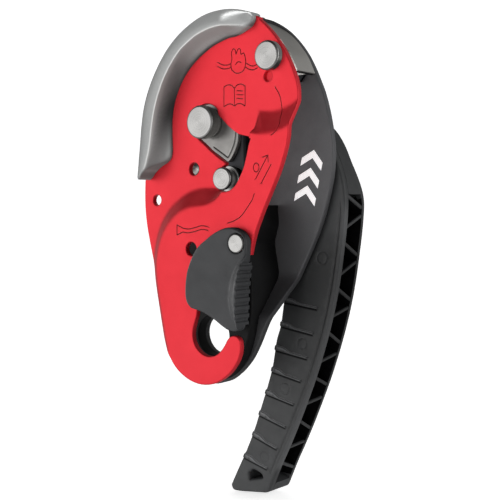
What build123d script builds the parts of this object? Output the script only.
from build123d import *
import math
import os

# Self-braking descender for a 10 to 13 mm rope.
# Frame while drawing: X right, Y away from the front, Z up, millimetres.
# Y = 0 is the front of the raised part of the moving side plate.
# Flat outlines are (X, Z) points. At export everything is shifted so that
# the attachment eye's centre is the origin.

# ---- driving dimensions -------------------------------------------------
EYE = (0.8, 0.2)             # attachment eye centre
EYE_Y = 10.5                 # depth that becomes Y = 0 at export
EYE_R = 9.0
CAM_AXIS = (-6.4, 96.4)      # cam and handle axis
STOP = (4.0, 70.7)           # grooved stop post
PIVOT = (30.0, 123.4)        # moving plate pivot
GATE = (19.8, 42.2)          # gate hinge
BUTTON = (31.0, 86.0)        # release button
CATCH = (-8.2, 80.7)         # anti-error catch hinge
CATCH_DIR = (-0.927, -0.375)  # direction the catch points out of the cam
LIP_CENTRE = (-2.0, 88.0)    # centre of the rays that carry the lip sections
PLATE_T = 2.8                # moving plate sheet
RAISE = 7.2                  # height of the raised part of the moving plate
PLATE_BACK = RAISE + PLATE_T
FIX_Y = 24.0                 # inner face of the fixed plate, upper part
FIX_LOW_Y = 9.0              # inner face of the fixed plate, lower part
FIX_T = 3.0                  # fixed plate sheet
FIX_BACK = FIX_Y + FIX_T
FLUSH = FIX_BACK - 0.03      # back ends of countersunk pins
FRICTION_Y0 = 22.4           # friction plate sheet, front and back
FRICTION_Y1 = 23.95
HUB_Y0 = 28.0                # handle front face
HUB_Y1 = 41.0                # handle back face
HUB_R = 25.0                 # handle hub radius
CAM_Y0 = 12.6
CAM_Y1 = 23.4
CAM_R = 17.0                 # cam body round its axis
LOBE_R = 8.2                 # cam lobe around the stop post
CAM_HEAD_R = 7.3             # cam axle head
AXLE_R = 6.0                 # cam axle body
THREAD_R = 4.0               # cam axle back end
STOP_HEAD_R = 4.95
STOP_NECK_R = 3.5
STOP_FLANGE_R = 5.85
PIVOT_HEAD_R = 6.0
PIVOT_R = 3.4
GATE_HEAD_R = 4.2
GATE_PIN_R = 2.6
CATCH_PIN_R = 1.3
LIP_RIVET_R = 1.8
LIP_RIVET_HEAD_R = 2.9
FRICTION_RIVET_R = 1.6
BUTTON_R = 6.5
RUN = 0.06                   # running clearance on a radius

LIP_RIVETS = [(-14.2, 131.6), (-35.6, 104.8), (-36.6, 80.5)]
GUIDE_SCREWS = [(13.5, 38.5), (-19.5, 37.0)]
FRICTION_RIVETS = [(-25.9, 76.2), (-27.2, 104.8), (-10.0, 126.4), (19.5, 134.4)]

os.makedirs("parts", exist_ok=True)


# ---- helpers ------------------------------------------------------------
def at(point, y):
    return Vector(point[0], y, point[1])


def outline_wire(segments, y):
    """Wire at depth y from (kind, points) segments."""
    edges = []
    for kind, points in segments:
        places = [at(p, y) for p in points]
        if kind == "spline":
            edges.append(Edge.make_spline(places))
        elif kind == "arc":
            edges.append(Edge.make_three_point_arc(*places))
        else:
            for start, end in zip(places[:-1], places[1:]):
                edges.append(Edge.make_line(start, end))
    return Wire(edges)


def prism(segments, y0, y1):
    return Solid.extrude(Face(outline_wire(segments, y0)), Vector(0, y1 - y0, 0))


def poly(points, y0, y1):
    return prism([("line", list(points) + [points[0]])], y0, y1)


def side_prism(profile, x0, length):
    """Extrude a closed (Z, Y) profile along X."""
    wire = Wire.make_polygon([Vector(x0, y, z) for z, y in profile], close=True)
    return Solid.extrude(Face(wire), Vector(length, 0, 0))


def y_plane(centre, y):
    return Plane(origin=(centre[0], y, centre[1]), z_dir=(0, 1, 0))


def cyl(centre, radius, y0, y1):
    return Solid.make_cylinder(radius, y1 - y0, y_plane(centre, y0))


def cone(centre, front_r, back_r, y0, y1):
    return Solid.make_cone(front_r, back_r, y1 - y0, y_plane(centre, y0))


def ring(centre, outer_r, inner_r, y0, y1):
    return cyl(centre, outer_r, y0, y1) - cyl(centre, inner_r, y0 - 1, y1 + 1)


def lathe(centre, profile):
    """Revolve a closed (radius, y) polygon about the Y axis through centre."""
    points = [Vector(centre[0] + radius, y, centre[1]) for radius, y in profile]
    wire = Wire.make_polygon(points, close=True)
    return Solid.revolve(Face(wire), 360, Axis((centre[0], 0, centre[1]), (0, 1, 0)))


def polar(centre, radius, degrees):
    angle = math.radians(degrees)
    return (centre[0] + radius * math.cos(angle), centre[1] + radius * math.sin(angle))


def hexagon(centre, radius, y0, y1, turn=0):
    return poly([polar(centre, radius, 60 * k + turn) for k in range(6)], y0, y1)


def local(origin, direction, along, left):
    """Point reached by going along a direction and to its left."""
    return (origin[0] + direction[0] * along - direction[1] * left,
            origin[1] + direction[1] * along + direction[0] * left)


def sample(points, count):
    """Catmull-Rom samples through points, count per span."""
    out = []
    last = len(points) - 1
    for i in range(last):
        around = (points[max(i - 1, 0)], points[i], points[i + 1], points[min(i + 2, last)])
        for k in range(count):
            t = k / count
            place = []
            for p0, p1, p2, p3 in zip(*around):
                place.append(0.5 * (2 * p1 + (p2 - p0) * t
                                    + (2 * p0 - 5 * p1 + 4 * p2 - p3) * t * t
                                    + (3 * p1 - p0 - 3 * p2 + p3) * t ** 3))
            out.append(tuple(place))
    out.append(tuple(points[-1]))
    return out


def offset(points, distance):
    """Shift an open polyline to its left."""
    out = []
    for i, point in enumerate(points):
        before = points[max(i - 1, 0)]
        after = points[min(i + 1, len(points) - 1)]
        span = math.dist(before, after)
        direction = ((after[0] - before[0]) / span, (after[1] - before[1]) / span)
        out.append(local(point, direction, 0, distance))
    return out


def coil(centre, radius, wire_r, y0, y1, turns):
    pitch = (y1 - y0) / turns
    path = Wire([Edge.make_helix(pitch, y1 - y0, radius, center=(0, 0, 0), normal=(0, 0, 1))])
    section = Wire.make_circle(wire_r, Plane(origin=path @ 0, z_dir=path % 0))
    spring = Solid.sweep(Face(section), path, is_frenet=True)
    spring = spring.rotate(Axis.X, -90)
    return spring.moved(Location((centre[0], y0, centre[1])))


def solid_of(shape):
    """Largest solid of a boolean result, so every single piece is one body."""
    return sorted(shape.solids(), key=lambda s: -s.volume)[0]


def joined(pieces):
    total = pieces[0]
    for piece in pieces[1:]:
        total = total + piece
    return total


def edges_at(shape, *depths):
    return [e for e in shape.edges() if any(abs(e.center().Y - y) < 0.02 for y in depths)]


def soften(shape, edges, radius):
    # Guards against a fillet that fails or gives an invalid solid: the edges stay sharp.
    try:
        rounded = shape.fillet(radius, edges)
        return rounded if rounded.is_valid else shape
    except Exception:
        return shape


def save(shape, name):
    solids = list(shape.solids())
    piece = solids[0] if len(solids) == 1 else Compound(children=solids)
    piece = piece.moved(Location((-EYE[0], -EYE_Y, -EYE[1])))
    piece.label = name
    export_step(piece, f"parts/{name}.step")


# ---- moving side plate outline -------------------------------------------
# Open runs of points that join end to end.
lip_outer = [
    (24.2, 141.6), (20.4, 143.2), (14.9, 144.7), (9.3, 145.5), (3.6, 145.5), (-2.2, 144.8),
    (-8.1, 143.0), (-14.1, 140.1), (-20.1, 136.2), (-25.7, 131.3), (-30.7, 125.3),
    (-35.2, 118.4), (-38.6, 111.6), (-41.0, 104.6), (-42.5, 96.4), (-43.4, 87.8),
    (-44.0, 80.0), (-44.4, 73.0)]
plate_under_lip = offset(lip_outer, 0.9)   # the wrapped lip stands outside the plate
plate_left = [
    (-22.5, -11.9), (-25.6, -8.0), (-28.3, -3.3), (-30.4, 3.0), (-32.5, 11.0), (-35.0, 19.0),
    (-37.4, 26.0), (-39.5, 33.0), (-41.0, 38.5), (-42.4, 44.0), (-43.7, 50.0), (-44.6, 57.0),
    (-44.8, 64.0), (-44.6, 70.5)]
hook_inner = [
    (-6.0, 11.4), (-6.4, 8.8), (-7.6, 5.4), (-8.6, 2.0), (-8.6, -1.4), (-7.2, -4.9),
    (-4.2, -7.7), (-0.3, -9.1), (4.0, -8.6), (7.2, -6.6), (9.6, -3.8), (11.4, -0.9)]
hook_tip = [(11.4, -0.9), (13.0, 0.6), (15.0, 1.2), (17.1, 0.8), (18.6, -0.9), (19.0, -3.9)]
hook_outer = [
    (19.0, -3.9), (18.5, -7.0), (17.1, -10.2), (14.8, -13.5), (12.0, -16.4), (8.5, -19.0),
    (4.5, -21.0), (0.4, -22.1), (-4.3, -22.4), (-9.1, -21.6), (-13.3, -20.0), (-17.5, -17.4),
    (-20.6, -14.5), (-22.5, -11.9)]
arm_right = [
    (44.5, 105.2), (44.6, 97.5), (44.4, 90.3), (43.9, 86.2), (42.8, 82.0), (41.4, 77.8),
    (39.8, 73.7), (37.8, 69.5), (35.6, 65.2), (33.5, 61.0), (31.3, 56.7), (29.3, 52.4),
    (27.4, 48.1), (25.9, 43.7), (24.9, 40.0), (24.3, 37.2)]
disc_right = [
    (24.0, 140.0), (27.0, 137.4), (29.8, 134.7), (32.5, 131.7), (35.0, 128.5), (37.3, 125.1),
    (39.2, 121.8), (40.9, 118.5), (42.4, 115.1), (43.6, 111.8), (44.3, 108.6), (44.5, 105.2)]
mouth = [(24.3, 37.2), (14.0, 34.5), (6.0, 30.0), (-1.0, 23.0), (-5.0, 16.5), (-6.0, 11.4)]

# Crest (front) and foot (back) of the slope round the raised part.
crest_main = [
    (-25.0, -32.0), (-23.4, -20.0), (-22.5, -9.1), (-24.3, -1.3), (-26.7, 10.1), (-28.6, 19.4),
    (-29.7, 27.0), (-29.7, 33.0), (-28.5, 38.5), (-26.6, 43.5), (-23.6, 48.2), (-19.7, 52.0),
    (-15.5, 54.9), (-10.6, 56.6), (-5.9, 57.3), (-1.2, 58.0), (2.9, 59.5), (6.4, 61.9),
    (10.5, 66.8)]
foot_main = [
    (-38.0, -32.0), (-36.0, -20.0), (-34.6, -9.1), (-35.4, -1.3), (-37.4, 10.1), (-39.0, 19.4),
    (-39.8, 27.0), (-39.7, 34.5), (-38.5, 41.5), (-36.3, 48.0), (-33.2, 53.5), (-29.2, 58.2),
    (-24.2, 62.0), (-18.6, 65.1), (-12.6, 67.0), (-7.0, 67.6), (-3.0, 67.4), (0.4, 67.0),
    (4.0, 67.4)]
crest_window = [(10.5, 66.8), (16.0, 73.0), (19.5, 81.0), (23.8, 87.0), (24.3, 90.0)]
foot_window = [(4.0, 67.4), (11.0, 76.0), (17.5, 84.0), (21.2, 92.0), (22.9, 100.9)]
crest_ramp = [(24.3, 90.0), (28.1, 88.8), (32.4, 88.3), (37.9, 89.0), (44.5, 91.2), (54.0, 96.0)]
foot_ramp = [(22.9, 100.9), (27.5, 100.5), (31.9, 100.5), (36.2, 101.3), (40.6, 103.0),
             (50.0, 108.5)]

# Window: an arc about the pivot, a round end at the cam axle, the stop post notch.
WINDOW_ARC_R = 37.6
WINDOW_END_R = 8.4
window = [
    ("spline", [polar(PIVOT, WINDOW_ARC_R, angle) for angle in (241.5, 236, 230, 224)]
     + [polar(PIVOT, 37.9, 219), polar(CAM_AXIS, WINDOW_END_R, 40)]),
    ("arc", [polar(CAM_AXIS, WINDOW_END_R, angle) for angle in (40, 120, 215)]),
    ("spline", [polar(CAM_AXIS, WINDOW_END_R, 215), (-11.2, 89.2), (-8.3, 87.0), (-4.2, 83.8),
                (-0.2, 81.0), (3.0, 78.95)]),
    ("spline", [(3.0, 78.95), (4.5, 78.1), (4.7, 77.1), (3.2, 76.0), (0.9, 74.3), (-0.4, 72.4),
                (-0.6, 70.0), (0.2, 67.8), (2.0, 66.0), (4.7, 65.1)]),
    ("spline", [(4.7, 65.1), (8.7, 64.8), (12.1, 65.2), (14.5, 66.4), (16.7, 68.5),
                (18.8, 71.9), (20.4, 75.0), (21.5, 78.4), (22.4, 81.4), (23.2, 84.8),
                (24.3, 87.6)]),
    ("line", [(24.3, 87.6), (22.5, 87.9), polar(PIVOT, WINDOW_ARC_R, 241.5)]),
]

# centre, radius, first and last depth
PLATE_HOLES = [
    ((-36.9, 61.3), 2.5, -2, 13),
    ((-13.8, 75.5), 2.9, -2, 13),
    ((28.6, 114.9), 2.3, RAISE - 1, RAISE + 1.9),
    ((-9.5, 39.0), 3.1, -2, 13),
    (PIVOT, 5.2, 3, 13),
    (GATE, 3.2, -2, 5),
]


# ---- moving side plate ---------------------------------------------------
def raised(depth):
    """The raised form, set back by depth."""
    foot = outline_wire([("spline", foot_main), ("line", foot_window), ("spline", foot_ramp),
                         ("line", [foot_ramp[-1], (90, 110), (90, -36), (-38, -36),
                                   foot_main[0]])], RAISE + depth)
    crest = outline_wire([("spline", crest_main), ("line", crest_window), ("spline", crest_ramp),
                          ("line", [crest_ramp[-1], (90, 98), (90, -34), (-25, -34),
                                    crest_main[0]])], depth)
    return Solid.make_loft([foot, crest], ruled=True)


def moving_side_plate():
    runs = [disc_right, arm_right, mouth, hook_inner, hook_tip, hook_outer, plate_left]
    outline = [("spline", run) for run in runs] + [
        ("line", [plate_left[-1], plate_under_lip[-1]]),
        ("spline", plate_under_lip[::-1]),
        ("line", [plate_under_lip[0], disc_right[0]])]
    slab = Solid.make_box(150, PLATE_T, 260, Plane(origin=(-75, RAISE, -60)))
    sheet = (slab + raised(0.0)) - raised(PLATE_T)
    plate = solid_of(sheet & prism(outline, -2, 12))
    plate = plate - prism(window, -2, 13)
    for centre, radius, y0, y1 in PLATE_HOLES:
        plate = plate - cyl(centre, radius, y0, y1)
    for rivet in LIP_RIVETS:
        plate = plate - cyl(rivet, LIP_RIVET_R, 3, 13) \
            - cone(rivet, LIP_RIVET_R, LIP_RIVET_HEAD_R, RAISE + 1.7, PLATE_BACK)
    return solid_of(plate)


plate = moving_side_plate()
save(plate, "moving_side_plate")

# ---- auxiliary brake lip --------------------------------------------------
lip_base = [
    (13.2, 133.6), (7.5, 133.3), (2.9, 132.2), (-2.3, 130.4), (-7.0, 128.0), (-11.8, 124.9),
    (-16.0, 121.4), (-19.7, 117.2), (-22.8, 112.3), (-25.2, 106.7), (-26.5, 100.7),
    (-26.9, 94.0), (-26.7, 88.0), (-26.4, 82.0), (-26.2, 76.0)]
lip_crest = [
    (25.7, 136.2), (20.8, 136.9), (15.3, 137.6), (10.8, 137.6), (5.1, 137.0), (0.0, 135.7),
    (-4.7, 133.6), (-10.0, 130.4), (-14.8, 126.7), (-19.7, 122.1), (-24.0, 116.8),
    (-27.7, 110.9), (-30.7, 104.8), (-32.8, 98.2), (-34.1, 91.4), (-34.8, 84.5),
    (-34.9, 77.5), (-35.0, 70.0)]
# Trim of the lip: its inner edge and lower end, closed far outside.
lip_trim = [
    ("spline", [(-26.6, 84.0), (-26.9, 94.0), (-26.5, 100.7), (-25.2, 106.7), (-22.8, 112.3),
                (-19.7, 117.2), (-16.0, 121.4), (-11.8, 124.9), (-7.0, 128.0), (-2.3, 130.4),
                (2.9, 132.2), (7.5, 133.3), (13.2, 133.6), (18.0, 134.0), (22.5, 135.2),
                (25.6, 137.0), (26.6, 139.3), (25.2, 142.0)]),
    ("line", [(25.2, 142.0), (30, 150), (-60, 150), (-60, 66.0), (-44.6, 70.4)]),
    ("spline", [(-44.6, 70.4), (-42.0, 71.3), (-38.0, 74.2), (-33.5, 76.9), (-29.6, 78.8),
                (-27.4, 80.8), (-26.6, 84.0)])]
# The three edges carried past both ends for the ray sections.
outer_line = sample([(31.0, 137.5)] + lip_outer + [(-45.2, 62.0)], 6)
base_line = sample([(32.0, 130.0), (23.0, 133.2)] + lip_base + [(-26.0, 64.0)], 6)
crest_line = sample([(33.0, 133.0)] + lip_crest + [(-35.2, 62.0)], 6)


def ray_radius(points, degrees):
    """Farthest crossing of a polyline with the ray from LIP_CENTRE."""
    best = None
    dx, dz = polar((0, 0), 1, degrees)
    for start, end in zip(points[:-1], points[1:]):
        ax, az = start[0] - LIP_CENTRE[0], start[1] - LIP_CENTRE[1]
        ex, ez = end[0] - start[0], end[1] - start[1]
        cross = dx * ez - dz * ex
        if abs(cross) < 1e-9:
            continue
        radius = (ax * ez - az * ex) / cross
        share = (ax * dz - az * dx) / cross
        if radius > 0 and -0.001 <= share <= 1.001:
            best = radius if best is None else max(best, radius)
    return best


def ray_points(degrees, profile):
    """Places for a (radius, y) profile on the ray from LIP_CENTRE."""
    return [at(polar(LIP_CENTRE, radius, degrees), y) for radius, y in profile]


def lip_section(degrees):
    outer = ray_radius(outer_line, degrees)
    base = ray_radius(base_line, degrees)
    crest = ray_radius(crest_line, degrees)
    rise = crest - base
    fall = outer - crest
    front = ray_points(degrees, [
        (base, 7.2), (base + 0.30 * rise, 5.7), (base + 0.62 * rise, 2.2),
        (base + 0.86 * rise, -1.3), (crest + 0.04 * fall, -2.5), (crest + 0.35 * fall, -2.2),
        (crest + 0.72 * fall, -0.9), (outer - 0.35, 0.7), (outer, 2.2)])
    flange = outer - min(9.0, (outer - base) * 0.75)
    # round the plate's edge and under its back
    rest = ray_points(degrees, [
        (outer, 2.2), (outer, 10.2), (outer - 1.0, 11.3), (flange, 11.3), (flange, 10.05),
        (outer - 1.0, 10.05), (outer - 1.0, 7.2), (base, 7.2)])
    return Wire([Edge.make_spline(front)]
                + [Edge.make_line(start, end) for start, end in zip(rest[:-1], rest[1:])])


def auxiliary_brake():
    angles = (58, 70, 83, 97, 112, 127, 142, 157, 172, 186, 198, 206)
    lip = Solid.make_loft([lip_section(angle) for angle in angles], ruled=False)
    lip = solid_of(lip & prism(lip_trim, -6, 13))
    # seat for the plate's edge
    lip = lip - prism([("spline", plate_under_lip[::-1]),
                       ("line", [plate_under_lip[0], (40, 120), (0, 60), plate_under_lip[-1]])],
                      7.17, 10.03)
    # no back flange at the right end
    lip = solid_of(lip) - poly([(6.0, 120), (6.0, 150), (40, 150), (40, 120)], 10.03, 14)
    lip = solid_of(lip) - plate
    for rivet in LIP_RIVETS:
        lip = lip - cyl(rivet, LIP_RIVET_R, 3.4, 7.5)
        lip = lip - cyl(rivet, 3.2, 9.5, 12)
    return solid_of(lip)


save(auxiliary_brake(), "auxiliary_brake")
save(joined([solid_of(cyl(rivet, LIP_RIVET_R, 3.4, PLATE_BACK)
                      + cone(rivet, LIP_RIVET_R, LIP_RIVET_HEAD_R, RAISE + 1.7, PLATE_BACK))
             for rivet in LIP_RIVETS]), "auxiliary_brake_rivets")

# ---- fixed side plate -----------------------------------------------------
fixed_right = [
    (12.7, 144.0), (17.6, 142.6), (23.0, 140.2), (28.3, 137.0), (32.6, 133.4), (36.1, 129.5),
    (39.2, 125.3), (42.0, 120.2), (44.6, 114.4), (47.1, 108.0), (49.2, 100.2), (50.7, 91.5),
    (51.3, 82.8), (51.0, 74.5), (49.9, 67.6), (48.3, 61.1), (46.3, 54.5), (43.8, 47.9),
    (40.7, 41.2), (37.5, 34.9), (34.4, 29.0), (32.0, 23.5), (30.4, 18.5), (29.0, 13.4),
    (27.2, 8.0), (24.8, 2.8), (21.9, -3.3), (18.5, -9.2), (14.9, -13.6), (11.3, -17.0),
    (6.0, -20.6), (-1.1, -22.9)]
fixed_left = [
    (-1.1, -22.9), (-7.5, -23.2), (-13.5, -20.8), (-18.5, -17.2), (-22.6, -12.2), (-25.6, -6.0),
    (-28.0, 2.0), (-30.5, 12.0), (-33.0, 22.0), (-35.4, 32.0), (-37.2, 42.0), (-38.2, 52.0),
    (-38.4, 62.0), (-37.8, 72.0), (-37.0, 82.0), (-36.2, 90.0), (-34.8, 98.0), (-32.6, 105.5),
    (-29.4, 112.5), (-25.2, 118.6), (-20.2, 124.0), (-14.6, 128.6), (-8.6, 132.4), (-2.4, 135.2),
    (3.2, 137.2), (7.2, 140.2), (10.0, 142.8), (12.7, 144.0)]
# Inner face of the sheet as (Z, Y): two flats joined by a slope.
bend_low = [(-60, FIX_LOW_Y), (7.4, FIX_LOW_Y)]
bend_slope = [(9.2, 9.3), (10.8, 10.2), (24.6, 22.4), (26.6, 23.6)]
bend_high = [(28.6, FIX_Y), (170, FIX_Y)]
bend_inner = bend_low + bend_slope + bend_high
bend_back = ([(z, y + FIX_T) for z, y in bend_low]
             + [(z - 1.2, y + FIX_T - 0.6) for z, y in bend_slope]
             + [(z, y + FIX_T) for z, y in bend_high])
bent_sheet = side_prism(bend_inner + bend_back[::-1], -80, 180)
fixed_blank = solid_of(bent_sheet
                       & prism([("spline", fixed_right), ("spline", fixed_left)], 0, 30))

# centre, bore radius, countersink radius, depth where the countersink starts
FIXED_HOLES = (
    [(STOP, STOP_NECK_R, 4.6, 25.9), (PIVOT, 3.02, 4.3, 25.8)]
    + [(screw, 2.1, 4.0, 25.1) for screw in GUIDE_SCREWS]
    + [(rivet, FRICTION_RIVET_R, 2.6, 26.0) for rivet in FRICTION_RIVETS])


def fixed_side_plate():
    fixed = fixed_blank - cyl(EYE, EYE_R, 0, 30)
    fixed = fixed - cyl(CAM_AXIS, 12.5, 20, 30)
    for centre, bore_r, sink_r, sink_y in FIXED_HOLES:
        fixed = fixed - cyl(centre, bore_r, 20, 30) \
            - cone(centre, bore_r, sink_r, sink_y, FIX_BACK)
    fixed = solid_of(fixed)
    return soften(fixed, [e for e in edges_at(fixed, FIX_BACK) if e.length > 60], 0.6)


save(fixed_side_plate(), "fixed_side_plate")

# ---- lower rope guide ------------------------------------------------------
guide_outline = [
    ("spline", [(22.0, 58.8), (21.9, 56.6), (22.4, 50.4), (21.2, 45.6), (20.3, 42.0),
                (21.1, 36.2), (22.4, 29.4), (22.7, 20.6), (22.6, 12.0), (21.6, 5.0),
                (20.0, -1.5), (17.6, -8.0), (14.0, -13.4), (8.0, -18.4), (0.4, -21.2)]),
    ("spline", [(0.4, -21.2), (-8.8, -20.6), (-16.6, -16.8), (-21.8, -11.0), (-24.6, -4.0),
                (-27.2, 5.5), (-30.0, 16.5), (-32.8, 28.0), (-35.0, 38.0)]),
    ("spline", [(-35.0, 38.0), (-34.0, 40.6), (-30.0, 43.0), (-22.0, 46.4), (-12.0, 48.6),
                (-4.0, 49.6)]),
    ("spline", [(-4.0, 49.6), (0.0, 48.9), (4.2, 48.8), (9.0, 49.3), (14.0, 51.0),
                (18.2, 54.2), (22.0, 58.8)])]
# Region that keeps its full height at the front.
guide_front = [
    (-19.4, -9.0), (-21.4, -1.0), (-24.2, 10.0), (-26.2, 20.0), (-27.4, 28.0), (-27.2, 34.0),
    (-25.6, 39.5), (-22.9, 44.6), (-18.9, 48.6), (-13.0, 51.6), (-6.0, 54.0), (40, 70),
    (60, -60), (-19.4, -60)]


def lower_rope_guide():
    guide = prism(guide_outline, 3.3, 26)
    guide = guide - (prism(guide_outline, 3.3, 10.4) - poly(guide_front, 3.0, 10.4))
    # carve to the inner face of the fixed plate
    guide = guide - side_prism(bend_inner + [(170, 60), (-60, 60)], -90, 200)
    guide = guide - cyl(EYE, EYE_R, 0, 30)
    for screw in GUIDE_SCREWS:
        guide = guide - cyl(screw, 1.7, 14.5, 30)
    return solid_of(guide)


def guide_screw(centre):
    screw = cyl(centre, 1.7, 16.0, 25.5) + cone(centre, 2.05, 3.9, 25.15, 26.95)
    return solid_of(screw - hexagon(centre, 1.6, 25.6, 28))


save(lower_rope_guide(), "lower_rope_guide")
save(joined([guide_screw(centre) for centre in GUIDE_SCREWS]), "guide_screws")

# ---- friction plate on the fixed side ---------------------------------------
friction_wall = sample([(15.5, 141.6), (22.0, 138.9), (27.6, 135.6), (31.8, 132.0),
                        (35.2, 128.2), (38.2, 124.2), (40.4, 120.0), (42.0, 116.6)], 3)


def friction_section(degrees):
    outer = ray_radius(outer_line, degrees) - 0.6
    inner = outer - 17.0
    return Wire.make_polygon(ray_points(degrees, [
        (inner, FRICTION_Y0), (outer - 7.2, FRICTION_Y0), (outer - 3.0, 24.0), (outer, 26.4),
        (outer - 0.2, 27.4), (outer - 1.4, 27.4), (outer - 4.6, 25.2),
        (outer - 7.0, FRICTION_Y1), (inner, FRICTION_Y1)]), close=True)


def friction_plate():
    angles = (76, 88, 100, 112, 126, 140, 154, 168, 180, 190, 197)
    rim = Solid.make_loft([friction_section(angle) for angle in angles], ruled=False)
    wall_in = offset(friction_wall, -1.7)
    wall = prism([("spline", friction_wall), ("line", [friction_wall[-1], wall_in[-1]]),
                  ("spline", wall_in[::-1]), ("line", [wall_in[0], friction_wall[0]])],
                 10.35, FRICTION_Y1)
    web_in = offset(friction_wall, -8.0)
    web = prism([("spline", friction_wall),
                 ("line", [friction_wall[-1], (37.4, 116.6), web_in[-1]]),
                 ("spline", web_in[::-1]),
                 ("line", [web_in[0], (0.0, 128.0), (-4.0, 136.0), (4.0, 141.2), (10.0, 142.2),
                           friction_wall[0]])], FRICTION_Y0, FRICTION_Y1)
    friction = solid_of(solid_of(rim) + wall + web)
    lug = cyl(FRICTION_RIVETS[0], 4.6, FRICTION_Y0, FRICTION_Y1)
    friction = solid_of(friction + lug)
    for rivet in FRICTION_RIVETS:
        friction = friction - cyl(rivet, FRICTION_RIVET_R, 20, 30)
    friction = friction - cyl(PIVOT, 5.05, 20, 30)
    friction = friction - cyl(CAM_AXIS, CAM_R + 0.8, 20, 30)
    return solid_of(friction - fixed_blank)


save(friction_plate(), "friction_plate")
save(joined([lathe(rivet, [(0, 21.3), (1.6, 21.4), (2.6, 21.9), (2.9, 22.38), (1.58, 22.38),
                           (1.58, 26.1), (2.5, FLUSH), (0, FLUSH)])
             for rivet in FRICTION_RIVETS]), "friction_plate_rivets")

# ---- cam axle, nut and washer ----------------------------------------------
save(lathe(CAM_AXIS, [
    (0, 3.0), (6.6, 3.0), (7.0, 3.12), (CAM_HEAD_R, 3.45), (CAM_HEAD_R, 7.05), (6.45, 7.05),
    (6.45, 10.3), (AXLE_R, 10.3), (AXLE_R, 36.0), (THREAD_R, 36.0), (THREAD_R, 45.6),
    (3.6, 46.0), (0, 46.0)]), "cam_axle")
save(ring(CAM_AXIS, 8.2, 4.15, 41.15, 42.3), "cam_axle_washer")
nut = hexagon(CAM_AXIS, 7.5, 42.35, 46.6, turn=15) - cyl(CAM_AXIS, THREAD_R, 40, 50)
nut_chamfer = lathe(CAM_AXIS, [(0, 42.35), (7.6, 42.35), (7.6, 45.6), (6.6, 46.6), (0, 46.6)])
save(solid_of(nut & nut_chamfer), "cam_axle_nut")

# ---- stop post --------------------------------------------------------------
save(lathe(STOP, [
    (0, 5.4), (4.5, 5.4), (4.8, 5.5), (STOP_HEAD_R, 5.8), (STOP_HEAD_R, 7.05),
    (STOP_NECK_R, 7.05), (STOP_NECK_R, 10.15), (STOP_FLANGE_R, 10.15), (STOP_FLANGE_R, 12.3),
    (STOP_NECK_R, 12.3), (STOP_NECK_R, 25.95), (4.5, FLUSH), (0, FLUSH)]), "stop_post")

# ---- pivot pin, spacer, bush -------------------------------------------------
save(lathe(PIVOT, [
    (0, 3.5), (5.5, 3.5), (5.85, 3.62), (PIVOT_HEAD_R, 3.95), (PIVOT_HEAD_R, 7.1),
    (PIVOT_R, 7.1), (PIVOT_R, 23.9), (3.0, 23.9), (3.0, 25.85), (4.2, FLUSH), (0, FLUSH)]),
    "pivot_pin")
save(ring(PIVOT, 4.95, PIVOT_R + 0.02, 10.15, 23.9), "pivot_spacer")
save(ring(PIVOT, 5.18, PIVOT_R + RUN, 7.25, 9.95), "pivot_bush")

# ---- safety gate --------------------------------------------------------------
GATE_FRONT = -4.3
BUMP_FRONT = -8.5
gate_outline = [
    ("spline", [(28.0, 41.7), (27.5, 44.8), (25.9, 47.1), (23.2, 48.6), (19.4, 49.3),
                (14.9, 49.2), (10.4, 48.3), (5.9, 46.5), (1.8, 43.8), (-1.7, 40.6),
                (-4.7, 37.0), (-7.0, 32.8), (-8.6, 28.7), (-9.4, 24.4), (-9.7, 20.6),
                (-9.4, 16.9), (-8.3, 14.3), (-6.2, 12.5)]),
    ("spline", [(-6.2, 12.5), (-2.3, 11.7), (1.2, 10.8), (4.6, 9.4), (8.1, 7.7), (11.5, 5.7),
                (14.3, 4.3)]),
    ("spline", [(14.3, 4.3), (17.2, 3.7), (20.6, 4.0), (22.3, 5.6), (22.6, 9.0), (22.3, 13.0),
                (22.2, 18.0), (22.6, 23.5), (23.8, 29.0), (25.4, 33.5), (27.2, 37.5),
                (28.0, 41.7)])]
# Rounded thumb bump on the right with its side wall.
bump_outline = [
    ("spline", [(27.2, 37.6), (23.6, 34.6), (20.8, 31.0), (19.2, 26.5), (18.6, 22.0),
                (18.8, 17.6), (19.7, 13.0), (20.6, 9.0), (21.4, 6.0)]),
    ("line", [(21.4, 6.0), (22.3, 5.8)]),
    ("spline", [(22.3, 5.8), (22.6, 9.0), (22.3, 13.0), (22.2, 18.0), (22.6, 23.5),
                (23.8, 29.0), (25.4, 33.5), (27.2, 37.6)])]
# The part that fills the mouth of the hook behind the face.
fill_outline = [
    ("spline", [(22.9, 34.6), (21.6, 29.5), (20.4, 24.0), (19.8, 18.0), (20.0, 12.0),
                (20.4, 7.0), (20.6, 4.6)]),
    ("line", [(20.6, 4.6), (16.6, 4.2), (13.4, 5.6), (12.2, 12.0), (11.8, 20.0), (12.4, 24.0),
              (15.5, 27.5), (19.5, 30.5), (22.9, 34.6)])]


def safety_gate():
    gate = prism(gate_outline, GATE_FRONT, -0.3)
    gate = soften(gate, edges_at(gate, GATE_FRONT), 1.2)
    bump = prism(bump_outline, BUMP_FRONT, -1.0)
    bump = soften(bump, edges_at(bump, BUMP_FRONT), 1.0)
    gate = solid_of(gate + bump)
    gate = solid_of(gate + prism(fill_outline, -0.6, 3.0))
    # notches up the right edge of the bump, following its lean above Z = 24
    for k in range(8):
        z = 8.2 + 3.5 * k
        x = 22.1 + max(z - 24, 0) * 0.28
        gate = gate - Solid.make_box(2.6, 9.0, 1.5, Plane(origin=(x, -8.9, z)))
    gate = gate - cyl(GATE, GATE_PIN_R + RUN, -12, 5)
    gate = gate - cyl(GATE, GATE_HEAD_R + 0.25, -9, -3.9)
    gate = gate - cyl(GATE, 5.6, -2.3, 0.5)
    return solid_of(gate)


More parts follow.
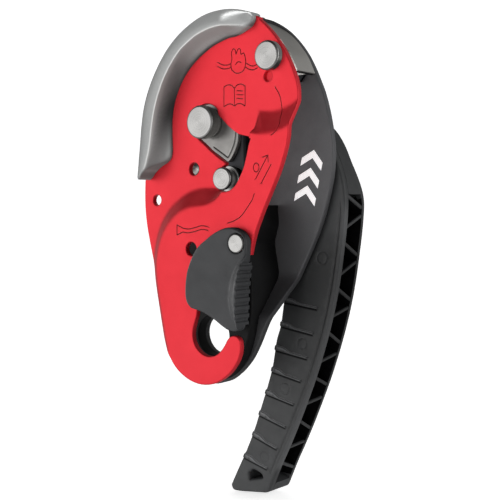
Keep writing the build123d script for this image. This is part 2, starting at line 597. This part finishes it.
save(safety_gate(), "safety_gate")
save(coil(GATE, radius=4.2, wire_r=0.42, y0=-1.78, y1=-0.85, turns=1.0), "gate_spring")
save(lathe(GATE, [
    (0, -4.8), (3.8, -4.8), (4.1, -4.7), (GATE_HEAD_R, -4.4), (GATE_HEAD_R, -3.95),
    (GATE_PIN_R, -3.95), (GATE_PIN_R, -0.05), (3.2, -0.05), (3.2, 2.78), (0, 2.78)]),
    "gate_pin")

# ---- cam ------------------------------------------------------------------------
SLOT_HALF = 3.7              # half width of the cam's curved slot
CAM_BORE_R = 8.0
FACE_R = 15.0                # cam face plate round the cam axis
FACE_Y0 = 10.45
STOP_OFFSET = (STOP[0] - CAM_AXIS[0], STOP[1] - CAM_AXIS[1])
STOP_ANGLE = math.degrees(math.atan2(STOP_OFFSET[1], STOP_OFFSET[0]))


def two_circle_hull(grow, y0, y1):
    """Taut outline round the cam body and its lobe, both radii grown alike."""
    big, small = CAM_R + grow, LOBE_R + grow
    turn = math.degrees(math.acos((big - small) / math.dist(CAM_AXIS, STOP)))
    left_big, left_small = [polar(c, r, STOP_ANGLE + turn)
                            for c, r in ((CAM_AXIS, big), (STOP, small))]
    right_big, right_small = [polar(c, r, STOP_ANGLE - turn)
                              for c, r in ((CAM_AXIS, big), (STOP, small))]
    return prism([("line", [left_big, left_small]),
                  ("arc", [left_small, polar(STOP, small, STOP_ANGLE), right_small]),
                  ("line", [right_small, right_big]),
                  ("arc", [right_big, polar(CAM_AXIS, big, STOP_ANGLE + 180), left_big])],
                 y0, y1)


def stop_slot():
    """Curved slot about the cam axis for the stop post."""
    radius = math.dist(CAM_AXIS, STOP)
    first, last = STOP_ANGLE + 6.8, STOP_ANGLE - 4.8
    outer = [polar(CAM_AXIS, radius + SLOT_HALF, angle)
             for angle in (first, (first + last) / 2, last)]
    inner = [polar(CAM_AXIS, radius - SLOT_HALF, angle)
             for angle in (last, (first + last) / 2, first)]
    slot = prism([("arc", outer), ("line", [outer[-1], inner[0]]),
                  ("arc", inner), ("line", [inner[-1], outer[0]])], 5, 30)
    for angle in (first, last):
        slot = slot + cyl(polar(CAM_AXIS, radius, angle), SLOT_HALF, 5, 30)
    return slot


def catch_poly(points, y0, y1):
    """Prism from points given (along, left of) the catch direction."""
    return poly([local(CATCH, CATCH_DIR, along, left) for along, left in points], y0, y1)


def cam_body():
    cam = two_circle_hull(0, CAM_Y0, CAM_Y1)
    cam = soften(cam, edges_at(cam, CAM_Y0, CAM_Y1), 1.6)
    # shallow rope groove round the working edge
    groove = two_circle_hull(6, 15.6, 20.4) - two_circle_hull(-1.1, 15.0, 21.0)
    cam = solid_of(cam - groove)
    cam = cam - stop_slot()
    cam = cam - cyl(CAM_AXIS, CAM_BORE_R, 10, 30)
    pocket = catch_poly([(0, -4.6), (12, -6.5), (12, 6.5), (0, 4.6)], 15.4, 20.6) \
        + cyl(CATCH, 4.6, 15.4, 20.6)
    cam = cam - pocket - cyl(CATCH, CATCH_PIN_R, 12, 22.5)
    # drive groove in the back for the handle's dog
    dog_groove = cyl(CAM_AXIS, 11.4, 22.0, 30) - cyl(CAM_AXIS, CAM_BORE_R, 20, 31)
    return solid_of(cam - dog_groove)


def cam_face_plate():
    start, end = polar(CAM_AXIS, FACE_R, 200), polar(CAM_AXIS, FACE_R, 8)
    face = prism([
        ("arc", [start, polar(CAM_AXIS, FACE_R, 100), end]),
        ("spline", [end, (9.7, 94.6), (9.6, 91.6), (9.4, 88.1), (8.6, 85.2), (7.2, 82.4),
                    (5.6, 80.0), (4.6, 78.9), (3.4, 78.5)]),
        ("spline", [(3.4, 78.5), (0.3, 80.4), (-6.8, 84.6), (-14.0, 88.0), start])],
        FACE_Y0, 12.55)
    face = soften(face, edges_at(face, FACE_Y0), 0.9)
    face = face - cyl(CAM_AXIS, AXLE_R + 0.25, 5, 20)
    return solid_of(face - cyl(STOP, STOP_FLANGE_R + 0.35, 5, 20))


def anti_error_catch():
    nose = catch_poly([(1.0, -2.0), (9.0, -1.6), (10.4, 0.6), (9.4, 2.6), (1.0, 2.6)],
                      15.6, 20.4)
    catch = cyl(CATCH, 3.3, 15.6, 20.4) + nose
    catch = solid_of(catch) - cyl(CATCH, CATCH_PIN_R + RUN, 10, 30)
    return solid_of(catch - cyl(CATCH, 2.5, 18.2, 21))


save(cam_body(), "cam_body")
save(ring(CAM_AXIS, 7.98, AXLE_R + RUN, 12.65, 22.0), "cam_bush")
save(cam_face_plate(), "cam_face_plate")
save(anti_error_catch(), "anti_error_catch")
save(cyl(CATCH, CATCH_PIN_R, 12.9, 22.4), "catch_pin")
save(coil(CATCH, radius=1.95, wire_r=0.28, y0=18.6, y1=20.1, turns=2.5), "catch_spring")

# ---- handle -------------------------------------------------------------------
HUB_SCREWS = [polar(CAM_AXIS, 17.7, 60 + 120 * k) for k in range(3)]
DISC_SCREWS = [polar(CAM_AXIS, 9.8, 90 * k + 45) for k in range(4)]
grip_right = [
    (-6.4, 121.4), (3.5, 120.4), (13.6, 117.3), (23.4, 111.5), (32.2, 103.6), (39.7, 95.3),
    (43.8, 91.0), (47.3, 85.7), (50.4, 79.1), (53.0, 72.2), (54.5, 65.6), (54.9, 58.9),
    (54.3, 49.5), (52.9, 38.5), (51.0, 26.0), (48.8, 15.0), (46.1, 4.4), (42.6, -7.0),
    (38.3, -19.3), (33.9, -30.2), (29.1, -41.4), (24.3, -51.8), (19.2, -62.2), (14.2, -73.4)]
grip_end = [
    (14.2, -73.4), (13.0, -75.4), (9.6, -76.2), (2.6, -76.9), (-4.2, -77.5), (-7.9, -77.1),
    (-9.0, -74.8)]
grip_left_low = [
    (22.0, 15.9), (20.0, 3.8), (17.7, -3.4), (15.5, -15.2), (12.6, -24.8), (9.1, -34.6),
    (5.0, -46.0), (0.4, -56.4), (-5.0, -66.9), (-9.0, -74.8)]
grip_left_up = [
    (-6.4, 71.4), (2.5, 72.6), (11.0, 72.2), (18.0, 67.2), (22.6, 58.8), (24.6, 48.0),
    (24.4, 36.0), (23.4, 26.0), (22.0, 15.9)]
grip_outline = [
    ("spline", grip_right), ("spline", grip_end), ("spline", grip_left_low[::-1]),
    ("spline", grip_left_up[::-1]),
    ("arc", [grip_left_up[0], polar(CAM_AXIS, HUB_R, 180), grip_right[0]])]
grip_line = sample(grip_right, 8)
# Finger grooves: left end, right end.
finger_grooves = [
    ((22.0, 14.4), (38.6, 11.6)), ((19.6, 3.4), (36.0, -0.4)), ((17.4, -7.4), (33.2, -11.6)),
    ((14.8, -18.0), (30.0, -22.4)), ((11.8, -28.6), (26.4, -33.4)),
    ((8.2, -38.9), (23.0, -44.6)), ((3.8, -49.8), (18.4, -54.6)), ((-1.0, -60.0), (14.6, -64.6))]
# Diagonal ribs zigzag down the channel: each runs from its first Z at the
# front to its second Z at the back.
ribs = [
    (63.3, 57.6), (48.8, 54.0), (42.2, 36.4), (27.9, 33.2), (21.7, 16.0), (9.0, 12.3),
    (1.8, -4.0), (-11.8, -9.3), (-19.2, -24.0), (-31.8, -30.3), (-39.9, -45.5),
    (-53.2, -52.2), (-61.0, -65.6)]
RIB_T = 1.5


def cut_finger_groove(handle, left_end, right_end):
    """Shallow step in the front face and a notch through the left edge."""
    length = math.dist(left_end, right_end)
    direction = ((right_end[0] - left_end[0]) / length, (right_end[1] - left_end[1]) / length)
    step = [(-3, 0), (length * 0.95, 0), (length * 0.95, -0.8), (-3, -1.3)]
    notch = [(-4, 0), (0.9, 0), (0, -2.4), (-4, -2.4)]
    for corners, back in ((step, HUB_Y0 + 0.55), (notch, HUB_Y1 + 1)):
        handle = handle - poly([local(left_end, direction, along, left)
                                for along, left in corners], HUB_Y0 - 1, back)
    return handle


def grip_edge_cut(points, inward, outward, y0, y1):
    """Band along part of the grip's right edge."""
    return poly(offset(points, outward) + offset(points, -inward)[::-1], y0, y1)


def grip_edge_at(z):
    """Point of the grip's right edge at height z, and the outward normal there."""
    for start, end in zip(grip_line[:-1], grip_line[1:]):
        if (start[1] - z) * (end[1] - z) <= 0:
            share = (start[1] - z) / (start[1] - end[1])
            run, rise = end[0] - start[0], end[1] - start[1]
            length = math.hypot(run, rise)
            return (start[0] + share * run, z), (-rise / length, run / length)


def rib(front_z, back_z):
    front, front_normal = grip_edge_at(front_z)
    back, back_normal = grip_edge_at(back_z)
    normal = Vector((front_normal[0] + back_normal[0]) / 2, 0,
                    (front_normal[1] + back_normal[1]) / 2).normalized()
    start, end = at(front, 29.2), at(back, 39.9)
    path = end - start
    side = path.normalized().cross(normal).normalized()
    corner = start - normal * 9.2 - side * (RIB_T / 2)
    wire = Wire.make_polygon([corner, corner + normal * 12,
                              corner + normal * 12 + side * RIB_T, corner + side * RIB_T],
                             close=True)
    return Solid.extrude(Face(wire), path)


def handle_grip():
    handle = prism(grip_outline, HUB_Y0, HUB_Y1)
    handle = soften(handle, edges_at(handle, HUB_Y0, HUB_Y1), 1.6)
    for left_end, right_end in finger_grooves:
        handle = cut_finger_groove(handle, left_end, right_end)
    grooved = solid_of(handle)
    # open channel on the right side with diagonal ribs
    channel = [p for p in grip_line if -70.5 < p[1] < 63.5 and p[0] > 10]
    handle = solid_of(grooved - grip_edge_cut(channel, 8.5, 6.0, 30.2, 38.8))
    for front_z, back_z in ribs:
        handle = handle + (rib(front_z, back_z) & grooved)
    handle = solid_of(handle)
    # smooth recess above the ribs
    recess = [p for p in grip_line if 66.5 < p[1] < 82 and p[0] > 40]
    handle = handle - grip_edge_cut(recess, 1.2, 4.0, 31.4, 37.6)
    # lanyard hole near the end
    handle = handle - prism([
        ("spline", [(2.0, -67.3), (4.4, -65.6), (7.2, -66.2), (9.3, -67.2), (10.1, -68.6)]),
        ("line", [(10.1, -68.6), (2.4, -70.6), (2.0, -67.3)])], 20, 50)
    # hub: axle bore, drive disc seat, spring recess, cover seat, then the button pocket
    handle = handle - cyl(CAM_AXIS, AXLE_R + 0.3, 20, 50)
    handle = handle - cyl(CAM_AXIS, 13.0, 27, 31.0)
    handle = handle - cyl(CAM_AXIS, 16.5, 34.0, 50)
    handle = handle - cyl(CAM_AXIS, 19.0, 39.2, 50)
    handle = handle - cyl(BUTTON, BUTTON_R + 0.12, 33.2, 50)
    # ring groove in the back face
    handle = handle - ring(CAM_AXIS, 23.0, 21.6, 39.9, 42)
    for screw in HUB_SCREWS:
        handle = handle - cyl(screw, 0.9, 34.6, 50)
    for screw in DISC_SCREWS:
        handle = handle - cyl(screw, 1.5, 28, 40)
    return solid_of(handle)


def drive_disc():
    bore_r = AXLE_R + RUN
    disc = solid_of(ring(CAM_AXIS, 12.44, bore_r, 23.6, 27.2)
                    + ring(CAM_AXIS, 12.9, bore_r, 27.15, 30.95))
    dog = ring(CAM_AXIS, 11.0, 8.6, 22.3, 23.7) \
        & poly([CAM_AXIS, polar(CAM_AXIS, 20, 70), polar(CAM_AXIS, 20, 110)], 20, 25)
    disc = solid_of(disc + dog)
    for screw in DISC_SCREWS:
        disc = disc - cyl(screw, 1.2, 27.4, 32)
    return solid_of(disc)


def disc_screw(centre):
    screw = lathe(centre, [(0, 28.0), (1.2, 28.0), (1.2, 34.05), (2.4, 34.05), (2.4, 35.4),
                           (2.0, 35.8), (0, 35.8)])
    return solid_of(screw - hexagon(centre, 1.2, 34.9, 37))


def hub_cover():
    cover = ring(CAM_AXIS, 18.9, 8.6, 39.25, 40.75)
    for screw in HUB_SCREWS:
        cover = cover - cyl(screw, 0.95, 30, 45)
    return solid_of(cover)


def return_spring():
    """Flat spiral strip round the cam axis."""
    turns, steps = 3.2, 90
    first_r, last_r, strip = 9.6, 15.6, 0.7
    inner, outer = [], []
    for k in range(steps + 1):
        angle = k / steps * turns * 360
        radius = first_r + (last_r - first_r) * k / steps
        inner.append(polar(CAM_AXIS, radius, angle))
        outer.append(polar(CAM_AXIS, radius + strip, angle))
    return poly(inner + outer[::-1], 36.4, 38.9)


save(handle_grip(), "handle_grip")
save(drive_disc(), "handle_drive_disc")
save(joined([disc_screw(centre) for centre in DISC_SCREWS]), "drive_disc_screws")
save(hub_cover(), "handle_hub_cover")
save(joined([solid_of(cyl(screw, 0.88, 35.0, 40.8) + cyl(screw, 1.15, 40.76, 41.3))
             for screw in HUB_SCREWS]), "hub_cover_screws")
save(return_spring(), "handle_return_spring")
save(ring(CAM_AXIS, 8.4, 4.1, 36.05, 41.1), "axle_collar")

# ---- release button --------------------------------------------------------------
save(lathe(BUTTON, [
    (0, 43.4), (4.6, 43.2), (5.8, 42.7), (BUTTON_R, 41.9), (BUTTON_R, 35.6), (4.2, 35.6),
    (4.2, 40.4), (0, 40.4)]), "release_button")
save(coil(BUTTON, radius=3.4, wire_r=0.42, y0=33.75, y1=37.5, turns=3.5),
     "release_button_spring")
